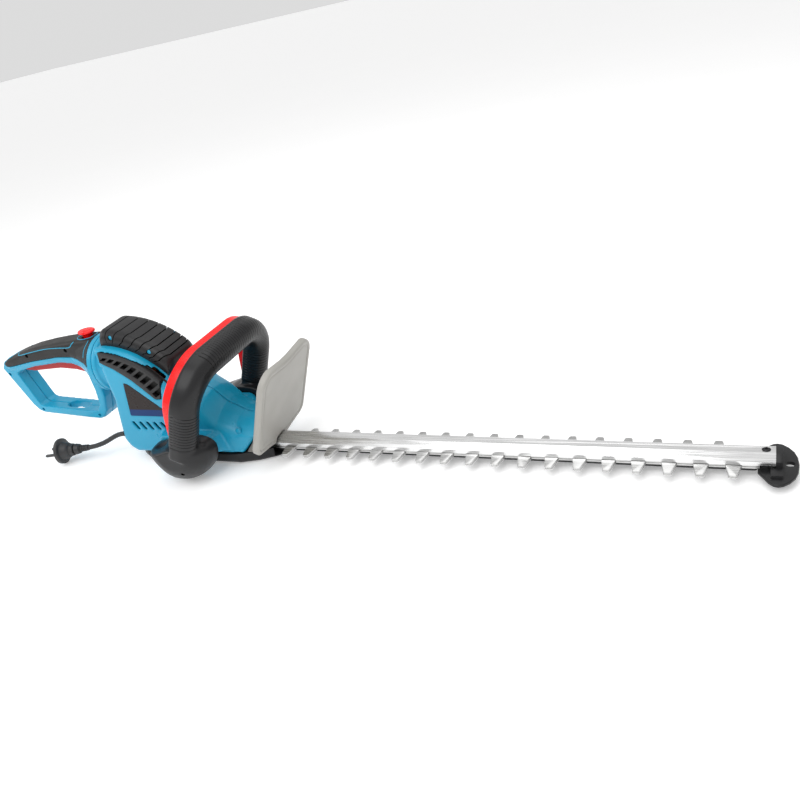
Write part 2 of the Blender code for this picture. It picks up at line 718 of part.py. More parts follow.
def loop_outline():
    lower = [(-349, 139), (-321, 75), (-313, 65), (-304, 61.5), (-215, 54), (-194, 53)]
    lower += [(-184, 56), (-176.5, 66), (-168, 90), (-165.5, 112), (-152, 118)]
    return lower + [(-152, 165), (-190, 168), (-223, 168), (-279, 160), (-321, 152), (-340, 150)]


def finger_outline():
    return [(-322, 131), (-305, 77), (-299, 73.5), (-208, 66.5), (-192, 67.5), (-183, 78),
            (-180, 98), (-179, 124), (-183, 139), (-200, 146), (-223, 148), (-279, 142), (-312, 135)]


def flare():
    """The handle grows from the oval grip to the round swivel collar."""
    rings = []
    sizes = [(-146.0, 142, 42, 42), (-153, 143.5, 39.5, 37), (-164, 147, 35.5, 29), (-180, 153, 28, 22),
             (-204, 162, 15, 16)]
    for x, zc, high, wide in sizes:
        rings.append([(x, wide * ca, zc + high * sa) for ca, sa in arc(0, 0, 1, 0, 350, 36)])
    return loft(rings)


def trigger_outline():
    return [(-312, 131.5), (-292, 130), (-239, 134), (-208, 131.5), (-191, 127), (-184, 125),
            (-181.5, 128), (-182, 152), (-200, 155), (-240, 153), (-296, 141), (-311, 135)]


def handle_cavity():
    return [(-316, 126), (-177.5, 116), (-177.5, 168), (-200, 171), (-240, 167), (-290, 156), (-314, 147)]


def swivel_bore():
    return turned([(-12, 10), (-7, 27.5), (30, 27.5)], (-146, 0, NECK_Z), "X", 28)


def make_rear_handle(parent):
    for side, name in ((-1, "rear_handle_right"), (1, "rear_handle_left")):
        loop = slab(loop_outline(), side * GAP / 2, side * LOOP_HALF, 3.0, 2)
        obj = node(name, loop, "cyan", parent=parent)
        combine(obj, slab(finger_outline(), -side * 5.0, side * 60.0, 0.5, 1))
        combine(obj, both_sides(grip_outline(), GRIP_HALF, 6.5, 3), "UNION")
        combine(obj, flare(), "UNION")
        keep = prism([(-400, 0), (0, 0), (0, 260), (-400, 260)], side * GAP / 2, side * 90.0)
        combine(obj, keep, "INTERSECT")
        combine(obj, prism(inset(overlay_region(), -GAP), -60, 60))
        combine(obj, prism(handle_cavity(), -8.6, 8.6))
        combine(obj, swivel_bore())
        combine(obj, prism(rounded_box(-262, -9, -222, 9, 8.5, 4), 40, 90, "Z"))
    grip = node("rear_grip", both_sides(grip_outline(), GRIP_HALF, 6.5, 3), "black", parent=parent)
    combine(grip, flare(), "UNION")
    combine(grip, prism(overlay_region(), -60, 60), "INTERSECT")
    combine(grip, prism(handle_cavity(), -8.6, 8.6))
    combine(grip, swivel_bore())
    combine(grip, prism(rounded_box(BUTTON_X - 9.5, -7.5, BUTTON_X + 9.5, 7.5, 6.5, 4), 150, 200, "Z"))


def make_collar(parent):
    """Swivel collar: a ring against the housing's neck, with a sleeve inside it."""
    ring = turned([(0, NECK_R), (7.7, NECK_R)], (-145.7, 0, NECK_Z), "X", 36)
    obj = node("swivel_collar", ring, "cyan", parent=parent)
    sleeve = turned([(1, 31.6), (21.5, 31.6), (21.5, 34.3), (24.5, 34.3)], (-145.7, 0, NECK_Z), "X", 36)
    combine(obj, sleeve, "UNION")
    combine(obj, turned([(-5, 27.5), (40, 27.5)], (-145.7, 0, NECK_Z), "X", 36))


def make_controls(parent):
    pivot = (TRIGGER_PIVOT[0], 0, TRIGGER_PIVOT[1])
    trigger = both_sides(trigger_outline(), 7.4, 2.0, 2)
    obj = node("trigger", trigger, "red", pivot, parent)
    combine(obj, turned([(-20, 2.4), (20, 2.4)], pivot, "Y", 12))
    node("trigger_pin", turned([(-8.4, 2.0), (8.4, 2.0)], pivot, "Y", 12), "steel", parent=parent)
    switch = both_sides([(-262, 157), (-228, 158), (-228, 165), (-262, 161)], 6.0, 0.5, 1)
    node("mains_switch", switch, "black", parent=parent)
    layers = [(159, 8.0, 6.0), (184.8, 8.0, 6.0), (186.3, 9.5, 7.5), (187.3, 13.5, 10.5),
              (190, 13.5, 10.5), (191.4, 11.5, 8.5)]
    disc = oval_solid(BUTTON_X, layers)
    node("release_button", disc, "red", (BUTTON_X, 0, 175), parent)


def oval_solid(x, layers, count=20):
    return loft([[(x + a * ca, b * sa, z) for ca, sa in arc(0, 0, 1, 0, 360 - 360 / count, count)]
                 for z, a, b in layers])


# ---------------------------------------------------------------- mains lead


CORD_ROUTE = [
    (-151.0, -23.0, 33.5), (-155.0, -23.5, 33.1), (-159.0, -24.0, 32.6), (-162.8, -24.8, 31.8),
    (-166.4, -25.8, 30.7), (-170.0, -27.0, 29.4), (-173.6, -28.5, 28.0), (-177.2, -30.1, 26.5),
    (-180.9, -31.9, 25.1), (-184.6, -33.7, 23.8), (-188.5, -35.5, 22.7), (-192.6, -37.2, 21.8),
    (-196.9, -38.8, 21.0), (-201.2, -40.3, 20.5), (-205.6, -41.7, 20.2), (-210.0, -43.0, 20.0),
]


def smooth_route(points, count):
    """Points on a Catmull-Rom curve through the route."""
    ends = [Vector(points[0]) * 2 - Vector(points[1])]
    ends += [Vector(p) for p in points]
    ends.append(Vector(points[-1]) * 2 - Vector(points[-2]))
    result = []
    spans = len(points) - 1
    for i in range(count + 1):
        place = spans * i / count
        k = min(spans - 1, int(place))
        t = place - k
        p0, p1, p2, p3 = ends[k:k + 4]
        bend = p1 * 2 + (p2 - p0) * t + (p0 * 2 - p1 * 5 + p2 * 4 - p3) * t * t
        result.append((bend + (p1 * 3 - p0 - p2 * 3 + p3) * t ** 3) / 2)
    return result


def make_cord():
    curve = bpy.data.curves.new("mains_cord", "CURVE")
    curve.dimensions = "3D"
    curve.bevel_depth = CORD_R * MM
    curve.bevel_resolution = 2
    curve.use_fill_caps = True
    points = smooth_route(CORD_ROUTE, 5)
    spline = curve.splines.new("POLY")
    spline.points.add(len(points) - 1)
    for place, point in zip(spline.points, points):
        place.co = (*(point * MM), 1.0)
    obj = bpy.data.objects.new("mains_cord", curve)
    bpy.context.scene.collection.objects.link(obj)
    paint(obj, *FINISHES["rubber"])


def along_line(start, direction, profile, count=16):
    """Round rings along a straight line: profile is (distance, radius)."""
    forward = Vector(direction).normalized()
    side = forward.cross(Vector((0, 0, 1))).normalized()
    up = side.cross(forward)
    rings = []
    for distance, radius in profile:
        middle = Vector(start) + forward * distance
        rings.append([tuple(middle + side * ca + up * sa)
                      for ca, sa in arc(0, 0, radius, 0, 360 - 360 / count, count)])
    return loft(rings)


def make_lead_ends():
    out = Vector(CORD_ROUTE[0]) - Vector(GLAND_START)
    reach = out.length - GAP
    gland = along_line(GLAND_START, out, [(-6, 4.6), (4.5, 4.6), (4.5, 7.0), (reach, 4.6)])
    node("cable_gland", gland, "rubber")
    heading = Vector(CORD_ROUTE[-1]) - Vector(CORD_ROUTE[-2])
    heading.z = 0
    heading.normalize()
    start = Vector(CORD_ROUTE[-1]) + heading * GAP
    profile = [(0, 4.6), (14, 5.2), (14.5, 7.6), (22, 8.6), (22.5, 6.0), (29, 11.0), (41, 13.5),
               (41.5, 19.2), (46, 19.2), (47, 18.4)]
    node("plug_body", along_line(start, heading, profile, 20), "rubber")
    side = heading.cross(Vector((0, 0, 1)))
    for sign, name in ((-1, "plug_pin_1"), (1, "plug_pin_2")):
        base = start + heading * (47 + GAP) + side * (9.5 * sign)
        node(name, along_line(base, heading, [(0, 2.4), (17.5, 2.4), (19, 1.4)], 10), "steel")


def main():
    for obj in list(bpy.data.objects):
        bpy.data.objects.remove(obj, do_unlink=True)
    for side, tag in ((-1, "right"), (1, "left")):
        make_housing(side, f"housing_{tag}")
        make_grille(side, f"side_grille_{tag}")
        make_label(side, f"label_{tag}")
    make_cover()
    make_base()
    make_gear_case()
    make_motor()
    make_gear_train()
    make_blade("upper_blade", BLADE_Z + BLADE_SPLIT / 2)
    make_blade("lower_blade", BLADE_Z - BLADE_SPLIT / 2 - BLADE_THICK)
    make_carrier()
    make_tip_guard()
    make_front_handle()
    make_switch_bar()
    make_bar_switch()
    make_hand_guard()
    swivel = axis_empty("swivel_axis", (NECK_X, 0, NECK_Z))
    make_rear_handle(swivel)
    make_collar(swivel)
    make_controls(swivel)
    make_cord()
    make_lead_ends()


main()
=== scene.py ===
"""Looks of a corded hedge trimmer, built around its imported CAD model.

Metres, with the CAD's own frame: +X along the blade to its tip, +Y to the operator's
left, +Z up, and z = 0 at the surface that it stands on.
"""

import math

import bmesh
import bpy
from mathutils import Matrix, Vector


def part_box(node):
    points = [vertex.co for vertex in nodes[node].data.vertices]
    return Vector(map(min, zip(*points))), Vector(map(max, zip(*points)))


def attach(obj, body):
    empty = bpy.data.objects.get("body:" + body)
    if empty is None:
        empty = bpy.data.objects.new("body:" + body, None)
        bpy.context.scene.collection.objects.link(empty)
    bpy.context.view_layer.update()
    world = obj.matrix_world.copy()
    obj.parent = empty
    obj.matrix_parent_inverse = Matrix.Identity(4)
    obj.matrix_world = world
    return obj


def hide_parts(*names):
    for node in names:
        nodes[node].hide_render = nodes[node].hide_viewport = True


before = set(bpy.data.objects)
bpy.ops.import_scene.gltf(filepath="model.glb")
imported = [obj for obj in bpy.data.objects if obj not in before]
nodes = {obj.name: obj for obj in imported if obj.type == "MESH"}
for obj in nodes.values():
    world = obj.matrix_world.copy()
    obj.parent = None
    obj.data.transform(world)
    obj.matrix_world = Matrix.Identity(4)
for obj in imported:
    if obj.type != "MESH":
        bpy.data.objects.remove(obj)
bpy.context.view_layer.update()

MM = 0.001
LEAN = math.radians(23.0)
BAIL_FOOT = (12.2, 40.0)
BAIL_HALF = 88.0
BAIL_TOP = 128.5
BAIL_CORNER = 50.0
GUARD_FOOT = (105.0, 30.0)
GUARD_HALF = 63.5
GUARD_TOP = 126.0
GUARD_LOW = -10.0
DOME_CENTRE = (-115.0, 54.0)
BODY_HALF = 45.0
HOOD_HALF = 31.0
HOOD_RISE = 20.2
HOOD_SLANT = 6.0
HOOD_ENDS = (40.0, 93.0)
HOOD_FOOT_R = 126.6
HOOD_FLOOR_R = 126.4
HOOD_RIM = 12.0
HOOD_SLOTS = [84.0 - 7.3 * k + 0.27 * k * k for k in range(8)]
HOOD_SLOT_DEPTH = 3.6
HOOD_POST_ANGLES = (81.3, 55.9)
HOOD_POST_R = 138.5
CORD_R = 3.5


# ------------------------------------------------------------------ camera


def make_camera():
    camera = bpy.data.objects.new("camera", bpy.data.cameras.new("camera"))
    camera.data.lens = 35.325
    camera.data.sensor_width = 36.0
    camera.data.clip_start = 0.01
    right = Vector((0.90662728, 0.36749553, -0.20730174))
    up = Vector((-0.01110811, 0.5119338, 0.85895308))
    back = Vector((0.42178619, -0.77644757, 0.46821533))
    turn = Matrix((right, up, back)).transposed().to_4x4()
    camera.matrix_world = Matrix.Translation((0.69825, -0.74155, 0.52967)) @ turn
    bpy.context.scene.collection.objects.link(camera)
    bpy.context.scene.camera = camera


# ------------------------------------------------------------------ materials


FILM_BROWN = (0.016, 0.010, 0.009)
FILM_NAVY = (0.0, 0.028, 0.13, 1.0)


class Recipe:
    """The node tree of one finish, put together step by step."""

    def __init__(self, name, colour, roughness, metallic=0.0):
        self.material = bpy.data.materials.new(name)
        self.material.use_nodes = True
        self.tree = self.material.node_tree
        self.shader = self.tree.nodes["Principled BSDF"]
        self.colour = (*colour, 1.0)
        self.set("Base Color", self.colour)
        self.set("Roughness", roughness)
        self.set("Metallic", metallic)
        self.place = self.tree.nodes.new("ShaderNodeTexCoord").outputs["Object"]
        self.last_bump = None

    def set(self, socket, value):
        self.shader.inputs[socket].default_value = value
        return self

    def link(self, source, target):
        self.tree.links.new(source, target)

    def stretched(self, stretch, turn=(0, 0, 0)):
        mapping = self.tree.nodes.new("ShaderNodeMapping")
        mapping.inputs["Scale"].default_value = stretch
        mapping.inputs["Rotation"].default_value = turn
        self.link(self.place, mapping.inputs["Vector"])
        return mapping.outputs["Vector"]

    def noise(self, scale, detail=3.0, stretch=(1, 1, 1)):
        texture = self.tree.nodes.new("ShaderNodeTexNoise")
        texture.inputs["Scale"].default_value = scale
        texture.inputs["Detail"].default_value = detail
        self.link(self.stretched(stretch), texture.inputs["Vector"])
        return texture.outputs["Fac"]

    def spread(self, source, low, high, start=0.3, end=0.7):
        ranged = self.tree.nodes.new("ShaderNodeMapRange")
        ranged.inputs["From Min"].default_value = start
        ranged.inputs["From Max"].default_value = end
        ranged.inputs["To Min"].default_value = low
        ranged.inputs["To Max"].default_value = high
        self.link(source, ranged.inputs["Value"])
        return ranged.outputs["Result"]

    def tint(self, source, darker, lighter):
        """Lets the colour wander a little between two strengths of itself."""
        mix = self.tree.nodes.new("ShaderNodeMix")
        mix.data_type = "RGBA"
        mix.inputs[6].default_value = tuple(c * darker for c in self.colour[:3]) + (1.0,)
        mix.inputs[7].default_value = tuple(min(1.0, c * lighter) for c in self.colour[:3]) + (1.0,)
        self.link(source, mix.inputs[0])
        self.link(mix.outputs[2], self.shader.inputs["Base Color"])
        return self

    def gloss(self, source, low, high):
        self.link(self.spread(source, low, high), self.shader.inputs["Roughness"])
        return self

    def bump(self, source, strength, depth):
        bump = self.tree.nodes.new("ShaderNodeBump")
        bump.inputs["Strength"].default_value = strength
        bump.inputs["Distance"].default_value = depth
        self.link(source, bump.inputs["Height"])
        if self.last_bump:
            self.link(self.last_bump, bump.inputs["Normal"])
        self.last_bump = bump.outputs["Normal"]
        self.link(self.last_bump, self.shader.inputs["Normal"])
        return self


def moulded(name, colour, roughness, grain=900.0, depth=0.00003, sheen=0.35):
    """Injection-moulded plastic: faint flow marks and the fine spark texture of its mould."""
    recipe = Recipe(name, colour, roughness)
    flow = recipe.noise(9.0, 2.0)
    recipe.tint(recipe.spread(flow, 0.0, 1.0), 0.94, 1.05)
    recipe.gloss(recipe.noise(42.0), roughness - 0.05, roughness + 0.06)
    recipe.bump(recipe.noise(grain, 2.0), sheen, depth)
    return recipe


def brushed(name, colour, roughness, stretch, depth=0.00002):
    """Metal with long fine scratches along one direction."""
    recipe = Recipe(name, colour, roughness, 1.0)
    lines = recipe.noise(900.0, 2.0, stretch)
    recipe.tint(recipe.spread(lines, 0.0, 1.0), 0.82, 1.1)
    recipe.gloss(lines, roughness - 0.07, roughness + 0.1)
    recipe.bump(lines, 0.4, depth)
    return recipe


def label_print():
    """Dark printed film with a navy band along its foot."""
    recipe = Recipe("label_print", FILM_BROWN, 0.3)
    split = recipe.tree.nodes.new("ShaderNodeSeparateXYZ")
    recipe.link(recipe.stretched((1, 1, 1)), split.inputs["Vector"])
    ramp = recipe.tree.nodes.new("ShaderNodeValToRGB")
    ramp.color_ramp.interpolation = "CONSTANT"
    stops = ramp.color_ramp.elements
    stops[0].position = 0.0
    stops[0].color = FILM_NAVY
    stops[1].position = 0.5
    stops[1].color = (*FILM_BROWN, 1.0)
    recipe.link(recipe.spread(split.outputs["Z"], 0.0, 1.0, 0.079, 0.099), ramp.inputs["Fac"])
    recipe.link(ramp.outputs["Color"], recipe.shader.inputs["Base Color"])
    recipe.set("Specular IOR Level", 0.2)
    recipe.gloss(recipe.noise(60.0), 0.24, 0.34)
    recipe.bump(recipe.noise(1200.0), 0.1, 0.00001)
    return recipe


def wound_copper():
    """Enamelled wire, in close turns."""
    recipe = Recipe("wound_copper", (0.55, 0.2, 0.07), 0.3, 1.0)
    wave = recipe.tree.nodes.new("ShaderNodeTexWave")
    wave.inputs["Scale"].default_value = 260.0
    wave.bands_direction = "Z"
    recipe.link(recipe.place, wave.inputs["Vector"])
    recipe.tint(recipe.spread(wave.outputs["Fac"], 0.0, 1.0, 0.0, 1.0), 0.55, 1.1)
    recipe.gloss(recipe.noise(120.0), 0.25, 0.42)
    recipe.bump(wave.outputs["Fac"], 0.6, 0.0002)
    return recipe


def cord_sheath():
    """Matt black rubber, a little uneven along its length."""
    recipe = Recipe("cord_sheath", (0.022, 0.022, 0.023), 0.5)
    recipe.tint(recipe.spread(recipe.noise(25.0), 0.0, 1.0), 0.8, 1.3)
    recipe.gloss(recipe.noise(160.0), 0.42, 0.58)
    recipe.bump(recipe.noise(1400.0, 2.0), 0.3, 0.00003)
    recipe.bump(recipe.noise(60.0, 2.0), 0.15, 0.0002)
    return recipe


def smoke_guard():
    """Warm grey translucent plastic of the hand guard."""
    recipe = Recipe("smoke_guard", (0.345, 0.335, 0.31), 0.42)
    recipe.tint(recipe.spread(recipe.noise(11.0, 2.0), 0.0, 1.0), 0.93, 1.05)
    recipe.gloss(recipe.noise(38.0), 0.36, 0.48)
    recipe.bump(recipe.noise(1100.0, 2.0), 0.3, 0.00003)
    recipe.set("Subsurface Weight", 0.12)
    recipe.set("Subsurface Radius", (0.004, 0.004, 0.003))
    recipe.set("Subsurface Scale", 0.5)
    return recipe


def ground_steel():
    """Blade steel: ground along the blade, with the darker marks of laser-cut flanks."""
    recipe = brushed("ground_steel", (0.60, 0.60, 0.595), 0.3, (0.03, 1.0, 1.0), 0.00003)
    recipe.bump(recipe.noise(30.0, 3.0), 0.08, 0.0004)
    return recipe


def make_finishes():
    """Every finish of the trimmer, by its short name."""
    recipes = {
        "cyan": moulded("cyan_plastic", (0.006, 0.31, 0.50), 0.32),
        "cyan_inlay": moulded("cyan_inlay", (0.006, 0.33, 0.53), 0.42),
        "black": moulded("black_plastic", (0.013, 0.013, 0.014), 0.38, 1100.0, 0.00006, 0.5)
        .set("Specular IOR Level", 0.32),
        "bail": moulded("bail_plastic", (0.012, 0.012, 0.013), 0.32, 1300.0, 0.00004, 0.4)
        .set("Specular IOR Level", 0.32),
        "soft": moulded("soft_grip", (0.014, 0.014, 0.014), 0.48, 1500.0, 0.00008, 0.6)
        .set("Specular IOR Level", 0.3),
        # painted shade: the near-black of the plate put behind the grille's slots
        "hole": moulded("painted_recess_shade", (0.008, 0.008, 0.008), 0.6),
        "red": moulded("red_plastic", (0.92, 0.004, 0.004), 0.28).set("Specular IOR Level", 0.35),
        # the trigger's red is the red plastic darkened: painted shade for its place under the handle
        "trigger": moulded("trigger_red_painted_shade", (0.42, 0.006, 0.006), 0.38).set("Specular IOR Level", 0.35),
        "label": label_print(),
        "guard": smoke_guard(),
        "blade": ground_steel(),
        "bar": brushed("brushed_aluminium", (0.86, 0.86, 0.86), 0.27, (0.02, 1.0, 1.0)),
        "case": moulded("cast_case", (0.17, 0.16, 0.145), 0.5, 500.0, 0.0002, 0.6),
        "oxide": brushed("black_oxide", (0.05, 0.05, 0.052), 0.42, (1.0, 0.2, 1.0)),
        "steel": brushed("turned_steel", (0.52, 0.52, 0.52), 0.3, (1.0, 1.0, 0.05)),
        "copper": wound_copper(),
        "brass": brushed("drawn_brass", (0.75, 0.5, 0.18), 0.28, (1.0, 0.05, 1.0)),
        "cord": cord_sheath(),
        "rubber": moulded("plug_rubber", (0.024, 0.024, 0.025), 0.45, 1200.0, 0.00005, 0.5),
        "pin": brushed("plug_pin_metal", (0.10, 0.10, 0.10), 0.35, (0.1, 1.0, 1.0)),
    }
    return {key: recipe.material for key, recipe in recipes.items()}


FINISH = make_finishes()


def coat(obj, key):
    """Gives a piece one finish."""
    obj.data.materials.clear()
    obj.data.materials.append(FINISH[key])


# ------------------------------------------------------------------ modelling


def pick(obj):
    """Leaves only this piece selected, and active."""
    bpy.ops.object.select_all(action="DESELECT")
    obj.select_set(True)
    bpy.context.view_layer.objects.active = obj
    return obj


def start(name, maker, **how):
    """Adds a primitive, and gives it its piece's name."""
    bpy.ops.object.select_all(action="DESELECT")
    maker(**how)
    obj = bpy.context.object
    obj.name = name
    obj.data.name = name
    return obj


def apply_place(obj):
    """Moves a piece's place into its mesh."""
    pick(obj)
    bpy.ops.object.transform_apply(location=True, rotation=True, scale=True)
    return obj


def modify(obj, kind, **settings):
    """Adds one modifier, sets it and applies it."""
    pick(obj)
    modifier = obj.modifiers.new(kind.lower(), kind)
    for key, value in settings.items():
        setattr(modifier, key, value)
    bpy.ops.object.modifier_apply(modifier=modifier.name)
    return obj


def smooth(obj, degrees=35.0):
    """Shades a piece smooth, but for edges sharper than this."""
    pick(obj)
    bpy.ops.object.shade_smooth_by_angle(angle=math.radians(degrees))
    return obj


def swept(name, rings, caps=True):
    """A skin through rings of places, in millimetres: a circle is laid as the first ring,
    and its edge is extruded to each of the others."""
    obj = start(name, bpy.ops.mesh.primitive_circle_add, vertices=len(rings[0]))
    bpy.ops.object.mode_set(mode="EDIT")
    bpy.ops.mesh.select_all(action="SELECT")
    mesh = bmesh.from_edit_mesh(obj.data)
    for vert, place in zip(mesh.verts, rings[0]):
        vert.co = Vector(place) * MM
    for ring in rings[1:]:
        bpy.ops.mesh.extrude_region_move()
        mesh = bmesh.from_edit_mesh(obj.data)
        fresh = [vert for vert in mesh.verts if vert.select]
        for vert, place in zip(fresh, ring):
            vert.co = Vector(place) * MM
    bmesh.update_edit_mesh(obj.data)
    if caps:
        bpy.ops.mesh.edge_face_add()
        bpy.ops.mesh.select_all(action="DESELECT")
        bpy.ops.mesh.select_non_manifold()
        bpy.ops.mesh.edge_face_add()
    bpy.ops.mesh.select_all(action="SELECT")
    bpy.ops.mesh.normals_make_consistent(inside=False)
    bpy.ops.object.mode_set(mode="OBJECT")
    return obj


def merged_copy(node, name):
    """A CAD node's shape as a new piece, its loose triangles joined up."""
    obj = bpy.data.objects.new(name, nodes[node].data.copy())
    bpy.context.scene.collection.objects.link(obj)
    pick(obj)
    bpy.ops.object.mode_set(mode="EDIT")
    bpy.ops.mesh.select_all(action="SELECT")
    bpy.ops.mesh.remove_doubles(threshold=0.000002)
    bpy.ops.object.mode_set(mode="OBJECT")
    obj.data.name = name
    for attribute in list(obj.data.attributes):
        if attribute.name.startswith("custom_normal"):
            obj.data.attributes.remove(attribute)
    return obj


def softened(obj, voxel, rounds=8, share=0.45):
    """Rounds every edge a little, as a moulding's edges are."""
    modify(obj, "REMESH", mode="VOXEL", voxel_size=voxel * MM, adaptivity=0.0)
    modify(obj, "SMOOTH", factor=0.5, iterations=rounds)
    if share < 1.0:
        modify(obj, "DECIMATE", ratio=share)
    pick(obj)
    bpy.ops.object.shade_smooth()
    return obj


def crisp(obj, width, segments=2, angle=30.0):
    """Joins up flat faces, then breaks the sharp edges of a cut or stamped part."""
    pick(obj)
    bpy.ops.object.mode_set(mode="EDIT")
    bpy.ops.mesh.select_all(action="SELECT")
    bpy.ops.mesh.dissolve_limited(angle_limit=math.radians(1.0))
    bpy.ops.object.mode_set(mode="OBJECT")
    modify(obj, "BEVEL", width=width * MM, segments=segments, limit_method="ANGLE",
           angle_limit=math.radians(angle), use_clamp_overlap=True, harden_normals=False)
    return smooth(obj, 40.0)


def carve(obj, tool, operation="DIFFERENCE"):
    """Cuts, or joins, one piece with another, which is then thrown away."""
    pick(obj)
    modifier = obj.modifiers.new("carve", "BOOLEAN")
    modifier.operation = operation
    modifier.solver = "EXACT"
    modifier.object = tool
    bpy.ops.object.modifier_apply(modifier=modifier.name)
    bpy.data.objects.remove(tool, do_unlink=True)
    return obj


def join(pieces, name):
    bpy.ops.object.select_all(action="DESELECT")
    for piece in pieces:
        piece.select_set(True)
    bpy.context.view_layer.objects.active = pieces[0]
    bpy.ops.object.join()
    obj = bpy.context.object
    obj.name = name
    return obj


def shown(obj, body, key, slot, *replaced):
    """Hands a finished piece to the frame: what it rides on, looks like and stands for."""
    coat(obj, key)
    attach(obj, body)
    if replaced:
        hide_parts(*replaced)
    return obj


def arc(cx, cy, radius, first, last, count):
    """Evenly spaced places on a circle, between two angles."""
    step = (last - first) / (count - 1)
    angles = [math.radians(first + step * i) for i in range(count)]
    return [(cx + radius * math.cos(a), cy + radius * math.sin(a)) for a in angles]


def rounded(points, radius, count=5):
    """An outline whose corners are turned into short arcs."""
    result = []
    for i, here in enumerate(points):
        before = Vector(points[i - 1])
        middle = Vector(here)
        after = Vector(points[(i + 1) % len(points)])
        reach = min(radius, (before - middle).length / 2.1, (after - middle).length / 2.1)
        a = middle + (before - middle).normalized() * reach
        b = middle + (after - middle).normalized() * reach
        for k in range(count):
            t = k / (count - 1)
            result.append(tuple(a * (1 - t) ** 2 + middle * 2 * t * (1 - t) + b * t ** 2))
    return result


def inset(outline, distance):
    """Moves each side of an outline inwards."""
    area = sum(a[0] * b[1] - b[0] * a[1] for a, b in zip(outline, outline[1:] + outline[:1]))
    turn = 1.0 if area > 0 else -1.0
    result = []
    for i, here in enumerate(outline):
        before = Vector(outline[i - 1])
        middle = Vector(here)
        after = Vector(outline[(i + 1) % len(outline)])
        a = (middle - before).normalized()
        b = (after - middle).normalized()
        normal_a = Vector((-a.y, a.x)) * turn
        normal_b = Vector((-b.y, b.x)) * turn
        way = (normal_a + normal_b).normalized()
        result.append(tuple(middle + way * (distance / max(0.5, way.dot(normal_a)))))
    return result


def leaning(foot, y, along, forward):
    """A place on a leaning plane: up along it, and forward out of it."""
    return (foot[0] + along * math.sin(LEAN) + forward * math.cos(LEAN), y,
            foot[1] + along * math.cos(LEAN) - forward * math.sin(LEAN))


def on_dome(radius, turn):
    """A place (x, z) about the middle of the body's domed back."""
    return DOME_CENTRE[0] + radius * math.cos(turn), DOME_CENTRE[1] + radius * math.sin(turn)


def peg(name, place, radius, depth, edge):
    """A short blue boss across the body, with its rim just broken."""
    boss = start(name, bpy.ops.mesh.primitive_cylinder_add, vertices=24, radius=radius * MM,
                 depth=depth * MM, location=Vector(place) * MM, rotation=(math.pi / 2, 0, 0))
    modify(apply_place(boss), "BEVEL", width=edge * MM, segments=2)
    shown(smooth(boss), "body", "cyan", "cyan_shell")


def round_line(name, places, radius, resolution):
    """A round curve through places in metres."""
    curve = bpy.data.curves.new(name, "CURVE")
    curve.dimensions = "3D"
    curve.bevel_depth = radius * MM
    curve.bevel_resolution = resolution
    curve.use_fill_caps = True
    spline = curve.splines.new("POLY")
    spline.points.add(len(places) - 1)
    for spot, place in zip(spline.points, places):
        spot.co = (*place, 1.0)
        spot.radius = 1.0
    obj = bpy.data.objects.new(name, curve)
    bpy.context.scene.collection.objects.link(obj)
    return obj


def drilled(obj, place, radius, depth, axis="Y", verts=24):
    """A round hole of that depth on each side of a place."""
    turn = {"X": (0, math.pi / 2, 0), "Y": (math.pi / 2, 0, 0), "Z": (0, 0, 0)}[axis]
    tool = start("drill", bpy.ops.mesh.primitive_cylinder_add, vertices=verts, radius=radius * MM,
                 depth=depth * 2 * MM, location=Vector(place) * MM, rotation=turn)
    return carve(obj, apply_place(tool))


# ------------------------------------------------------------------ mains lead

CORD_ROUTE = [
    (-151.0, -23.0, 33.5), (-155.0, -23.5, 33.1), (-159.0, -24.0, 32.6), (-162.8, -24.8, 31.8),
    (-166.4, -25.8, 30.7), (-170.0, -27.0, 29.4), (-173.6, -28.5, 28.0), (-177.2, -30.1, 26.5),
    (-180.9, -31.9, 25.1), (-184.6, -33.7, 23.8), (-188.5, -35.5, 22.7), (-192.6, -37.2, 21.8),
    (-196.9, -38.8, 21.0), (-201.2, -40.3, 20.5), (-205.6, -41.7, 20.2), (-210.0, -43.0, 20.0),
]
GLAND_START = (-129.0, -20.0, 36.0)


def smooth_route(points, count):
    """Points on a Catmull-Rom curve through the route."""
    ends = [Vector(points[0]) * 2 - Vector(points[1])]
    ends += [Vector(p) for p in points]
    ends.append(Vector(points[-1]) * 2 - Vector(points[-2]))
    result = []
    spans = len(points) - 1
    for i in range(count + 1):
        place = spans * i / count
        k = min(spans - 1, int(place))
        t = place - k
        p0, p1, p2, p3 = ends[k:k + 4]
        bend = p1 * 2 + (p2 - p0) * t + (p0 * 2 - p1 * 5 + p2 * 4 - p3) * t * t
        result.append((bend + (p1 * 3 - p0 - p2 * 3 + p3) * t ** 3) / 2)
    return result


def along_line(name, begin, direction, profile, count=28):
    """A turned piece about a straight line: profile is (distance, radius), and the radius
    may be a function of the angle."""
    forward = Vector(direction).normalized()
    side = forward.cross(Vector((0, 0, 1))).normalized()
    up = side.cross(forward)
    rings = []
    for distance, radius in profile:
        middle = Vector(begin) + forward * distance
        ring = []
        for ca, sa in arc(0, 0, 1, 0, 360 - 360 / count, count):
            r = radius(math.atan2(sa, ca)) if callable(radius) else radius
            ring.append(tuple(middle + side * (ca * r) + up * (sa * r)))
        rings.append(ring)
    return swept(name, rings)


def hexagonal(radius):
    """A six-sided nut's outline, with its corners just broken."""
    def at(angle):
        turn = (angle % (math.pi / 3)) - math.pi / 6
        return min(radius / math.cos(turn), radius * 1.12)
    return at


